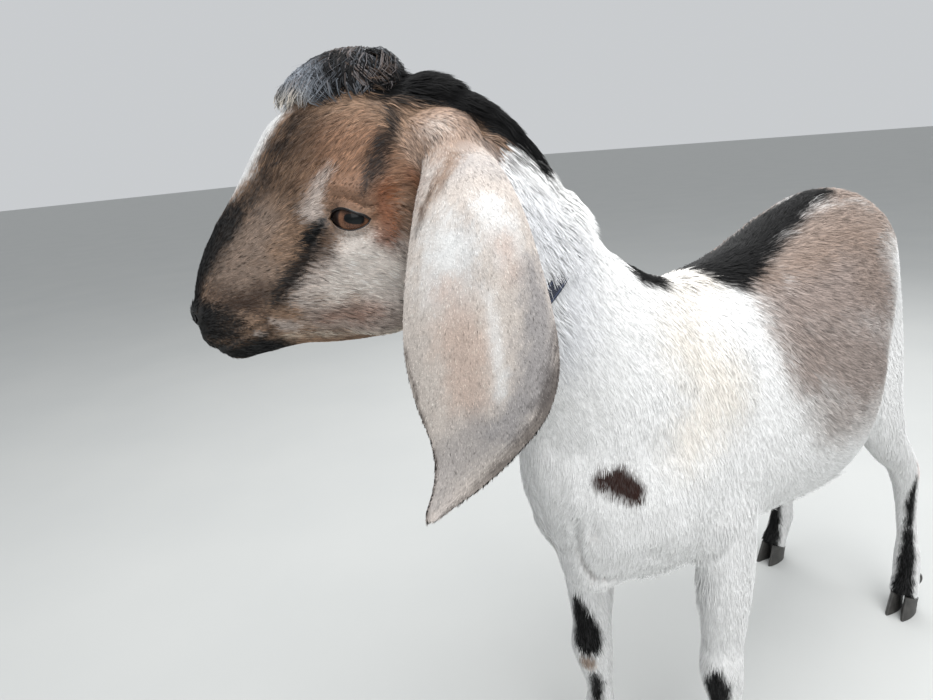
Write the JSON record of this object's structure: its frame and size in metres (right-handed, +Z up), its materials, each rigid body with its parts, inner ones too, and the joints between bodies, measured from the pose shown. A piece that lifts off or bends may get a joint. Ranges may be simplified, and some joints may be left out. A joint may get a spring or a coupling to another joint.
{
  "type": "nubian goat",
  "caption": "Standing young goat with long hanging ears, arched nose, small topknot and collar, head turned to its right, patched coat.",
  "frame": {"origin": "middle of the footprint's bounding box, on the floor under the soles", "axes": "+X the way the body faces, +Y to the goat's left, +Z up; the head is turned 26 degrees to the goat's right"},
  "size_m": [0.8983, 0.2367, 0.7598],
  "materials": {
    "white_coat": "short white hair, matt",
    "tan_coat": "short tan and brown hair, matt",
    "black_coat": "black hair, matt",
    "taupe_coat": "short grey-brown hair, matt",
    "ear_coat": "fine short pale hair, matt",
    "eye": "wet amber eye, glossy",
    "hoof": "dark horn, satin",
    "collar": "dark blue strap, satin"
  },
  "bodies": {
    "root": {"head": "tan_coat", "ear_left": "ear_coat", "ear_right": "ear_coat", "neck": "white_coat", "torso": "taupe_coat", "tail": "black_coat", "foreleg_left": "white_coat", "foreleg_right": "white_coat", "hindleg_left": "white_coat", "hindleg_right": "white_coat", "eye_left": "eye", "eye_right": "eye", "collar": "collar", "claw_fore_left_outer": "hoof", "claw_fore_left_inner": "hoof", "claw_fore_right_outer": "hoof", "claw_fore_right_inner": "hoof", "claw_hind_left_outer": "hoof", "claw_hind_left_inner": "hoof", "claw_hind_right_outer": "hoof", "claw_hind_right_inner": "hoof"}
  },
  "joints": []
}
